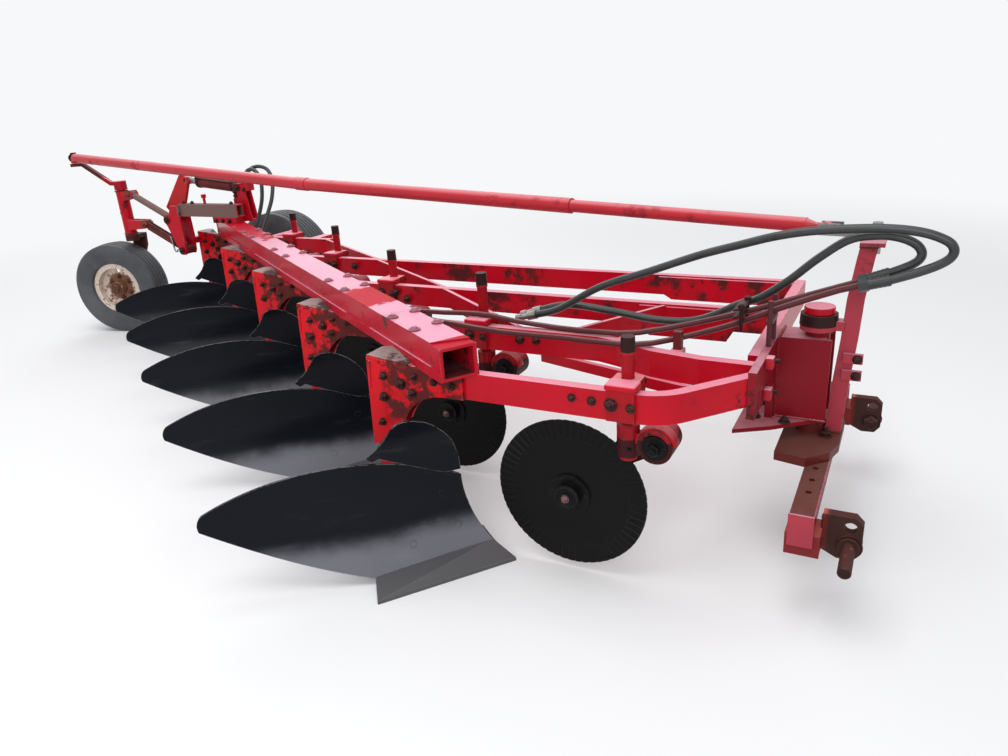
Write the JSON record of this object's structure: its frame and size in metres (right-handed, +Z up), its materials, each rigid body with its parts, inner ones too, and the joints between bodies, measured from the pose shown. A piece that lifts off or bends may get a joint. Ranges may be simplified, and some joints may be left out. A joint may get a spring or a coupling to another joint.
{
  "type": "moldboard plough",
  "caption": "Semi-mounted moldboard plough parked on its bottoms, with ripple coulters, a swinging hitch, a steered and lifted tail wheel and a land wheel.",
  "frame": {"origin": "on the ground under the middle of the machine's length and width, hoses left out", "axes": "+X is the direction of travel, +Y the unploughed left side, +Z up"},
  "size_m": [5.5393, 2.9911, 1.2691],
  "materials": {
    "faded_red_paint": "faded gloss red paint with soil and rust",
    "old_maroon_paint": "old dull maroon paint, rusty at the edges",
    "black_board_paint": "gloss black paint on the soil-turning steel",
    "bare_steel": "worn bare steel",
    "cream_rim_paint": "cream paint with rust",
    "red_rim_paint": "red paint with dust",
    "worn_tyre": "worn ribbed tyre with dust",
    "hose_rubber": "smooth black hydraulic hose"
  },
  "bodies": {
    "frame": {"main_beam": "faded_red_paint", "beam_cap": "faded_red_paint", "bar_1": "faded_red_paint", "bar_2": "faded_red_paint", "bar_3": "faded_red_paint", "bar_4": "faded_red_paint", "bar_5": "faded_red_paint", "cross_braces": "faded_red_paint", "headstock": "old_maroon_paint", "standard_1": "faded_red_paint", "standard_2": "faded_red_paint", "standard_3": "faded_red_paint", "standard_4": "faded_red_paint", "standard_5": "faded_red_paint", "moldboard_1": "black_board_paint", "moldboard_2": "black_board_paint", "moldboard_3": "black_board_paint", "moldboard_4": "black_board_paint", "moldboard_5": "black_board_paint", "shares": "black_board_paint", "frogs": "black_board_paint", "cover_boards": "black_board_paint", "coulter_posts": "faded_red_paint", "rear_bracket": "faded_red_paint", "land_bracket": "faded_red_paint", "oil_lines": "old_maroon_paint", "rear_hoses": "hose_rubber", "front_hose_1": "hose_rubber", "front_hose_2": "hose_rubber", "hose_tip_1": "bare_steel", "hose_tip_2": "bare_steel"},
    "hitch": {"hitch_bar": "old_maroon_paint", "pin_brackets": "old_maroon_paint", "mast": "old_maroon_paint"},
    "pipe_clevis": {"pipe_clevis": "bare_steel"},
    "pipe": {"steering_pipe": "faded_red_paint"},
    "upper_link": {"upper_link": "faded_red_paint"},
    "lower_link": {"lower_link": "old_maroon_paint"},
    "tail_head": {"tail_head": "faded_red_paint"},
    "tail_fork": {"tail_fork": "faded_red_paint"},
    "tail_wheel": {"tail_rim": "cream_rim_paint", "tail_tyre": "worn_tyre"},
    "lift_barrel": {"lift_barrel": "old_maroon_paint"},
    "lift_rod": {"lift_rod": "bare_steel"},
    "land_arm": {"land_arm": "faded_red_paint"},
    "land_wheel": {"land_rim": "red_rim_paint", "land_tyre": "worn_tyre"},
    "land_barrel": {"land_barrel": "old_maroon_paint"},
    "land_rod": {"land_rod": "bare_steel"},
    "stand": {"parking_stand": "old_maroon_paint"},
    "coulter_arm_1": {"coulter_arm_1": "black_board_paint"},
    "coulter_disc_1": {"coulter_disc_1": "black_board_paint"},
    "coulter_arm_2": {"coulter_arm_2": "black_board_paint"},
    "coulter_disc_2": {"coulter_disc_2": "black_board_paint"},
    "coulter_arm_3": {"coulter_arm_3": "black_board_paint"},
    "coulter_disc_3": {"coulter_disc_3": "black_board_paint"},
    "coulter_arm_4": {"coulter_arm_4": "black_board_paint"},
    "coulter_disc_4": {"coulter_disc_4": "black_board_paint"},
    "coulter_arm_5": {"coulter_arm_5": "black_board_paint"},
    "coulter_disc_5": {"coulter_disc_5": "black_board_paint"}
  },
  "joints": [
    {"name": "hitch_yaw", "type": "hinge", "parent": "frame", "child": "hitch", "pos_m": [2.488, -0.34, 0.56], "axis": [0, 0, 1], "range_deg": [-30, 30]},
    {"name": "pipe_swing", "type": "hinge", "parent": "hitch", "child": "pipe_clevis", "pos_m": [2.624, -0.25, 1.0133], "axis": [0, 0, 1], "range_deg": [-30, 30]},
    {"name": "pipe_pitch", "type": "hinge", "parent": "pipe_clevis", "child": "pipe", "pos_m": [2.47578, -0.22518, 1.02819], "axis": [-0.1652, -0.9863, 0], "range_deg": [-1, 5]},
    {"name": "rear_lift", "type": "hinge", "parent": "frame", "child": "upper_link", "pos_m": [-1.776, 0.75, 0.81], "axis": [0, -1, 0], "range_deg": [0, 50]},
    {"name": "lower_lift", "type": "hinge", "parent": "frame", "child": "lower_link", "pos_m": [-1.686, 0.75, 0.605], "axis": [0, -1, 0], "range_deg": [0, 50]},
    {"name": "head_level", "type": "hinge", "parent": "upper_link", "child": "tail_head", "pos_m": [-2.141, 0.75, 0.975], "axis": [0, -1, 0], "range_deg": [-50, 0]},
    {"name": "tail_steer", "type": "hinge", "parent": "tail_head", "child": "tail_fork", "pos_m": [-2.243, 0.75, 0.85], "axis": [0, 0, 1], "range_deg": [-20, 20]},
    {"name": "tail_spin", "type": "hinge", "parent": "tail_fork", "child": "tail_wheel", "pos_m": [-2.37041, 0.67523, 0.322], "axis": [-0.3007, 0.9537, 0], "continuous": true},
    {"name": "lift_tilt", "type": "hinge", "parent": "frame", "child": "lift_barrel", "pos_m": [-1.181, 0.84, 1.011], "axis": [0, -1, 0], "range_deg": [-1, 2]},
    {"name": "lift_stroke", "type": "slide", "parent": "lift_barrel", "child": "lift_rod", "axis": [-0.995, 0, 0.0995], "range_m": [0, 0.24]},
    {"name": "land_lift", "type": "hinge", "parent": "frame", "child": "land_arm", "pos_m": [-1.096, 0.95, 0.64], "axis": [0, -1, 0], "range_deg": [-30, 15]},
    {"name": "land_tilt", "type": "hinge", "parent": "frame", "child": "land_barrel", "pos_m": [-0.756, 1.1, 0.5], "axis": [0, -1, 0], "range_deg": [-3, 2]},
    {"name": "land_stroke", "type": "slide", "parent": "land_barrel", "child": "land_rod", "axis": [-0.9996, 0, -0.0294], "range_m": [-0.04, 0.08]},
    {"name": "land_spin", "type": "hinge", "parent": "land_arm", "child": "land_wheel", "pos_m": [-1.416, 1.38, 0.385], "axis": [0, 1, 0], "continuous": true},
    {"name": "coulter_swing_1", "type": "hinge", "parent": "frame", "child": "coulter_arm_1", "pos_m": [2.049, -0.91, 0.52], "axis": [0, 0, 1], "range_deg": [-15, 15]},
    {"name": "coulter_spin_1", "type": "hinge", "parent": "coulter_arm_1", "child": "coulter_disc_1", "pos_m": [1.844, -0.88, 0.28], "axis": [0, 1, 0], "continuous": true},
    {"name": "coulter_swing_2", "type": "hinge", "parent": "frame", "child": "coulter_arm_2", "pos_m": [1.325, -0.4528, 0.52], "axis": [0, 0, 1], "range_deg": [-15, 15]},
    {"name": "coulter_spin_2", "type": "hinge", "parent": "coulter_arm_2", "child": "coulter_disc_2", "pos_m": [1.12, -0.4228, 0.28], "axis": [0, 1, 0], "continuous": true},
    {"name": "coulter_swing_3", "type": "hinge", "parent": "frame", "child": "coulter_arm_3", "pos_m": [0.587, 0.0044, 0.52], "axis": [0, 0, 1], "range_deg": [-15, 15]},
    {"name": "coulter_spin_3", "type": "hinge", "parent": "coulter_arm_3", "child": "coulter_disc_3", "pos_m": [0.382, 0.0344, 0.28], "axis": [0, 1, 0], "continuous": true},
    {"name": "coulter_swing_4", "type": "hinge", "parent": "frame", "child": "coulter_arm_4", "pos_m": [-0.119, 0.4616, 0.52], "axis": [0, 0, 1], "range_deg": [-15, 15]},
    {"name": "coulter_spin_4", "type": "hinge", "parent": "coulter_arm_4", "child": "coulter_disc_4", "pos_m": [-0.324, 0.4916, 0.28], "axis": [0, 1, 0], "continuous": true},
    {"name": "coulter_swing_5", "type": "hinge", "parent": "frame", "child": "coulter_arm_5", "pos_m": [-0.847, 0.9188, 0.52], "axis": [0, 0, 1], "range_deg": [-15, 15]},
    {"name": "coulter_spin_5", "type": "hinge", "parent": "coulter_arm_5", "child": "coulter_disc_5", "pos_m": [-1.052, 0.9488, 0.28], "axis": [0, 1, 0], "continuous": true},
    {"name": "stand_drop", "type": "slide", "parent": "frame", "child": "stand", "axis": [0, 0, -1], "range_m": [0, 0.11]}
  ],
  "couplings": [
    {"joint": "pipe_swing", "follows": "hitch_yaw", "ratio": -1},
    {"joint": "tail_steer", "follows": "hitch_yaw", "ratio": -0.6},
    {"joint": "lower_lift", "follows": "rear_lift", "ratio": 1},
    {"joint": "head_level", "follows": "rear_lift", "ratio": -1},
    {"joint": "lift_tilt", "follows": "rear_lift", "ratio": 0.0138},
    {"joint": "lift_stroke", "follows": "rear_lift", "m_per_rad": 0.272},
    {"joint": "pipe_pitch", "follows": "rear_lift", "ratio": 0.0775},
    {"joint": "land_tilt", "follows": "land_lift", "ratio": 0.07},
    {"joint": "land_stroke", "follows": "land_lift", "m_per_rad": -0.1445}
  ]
}
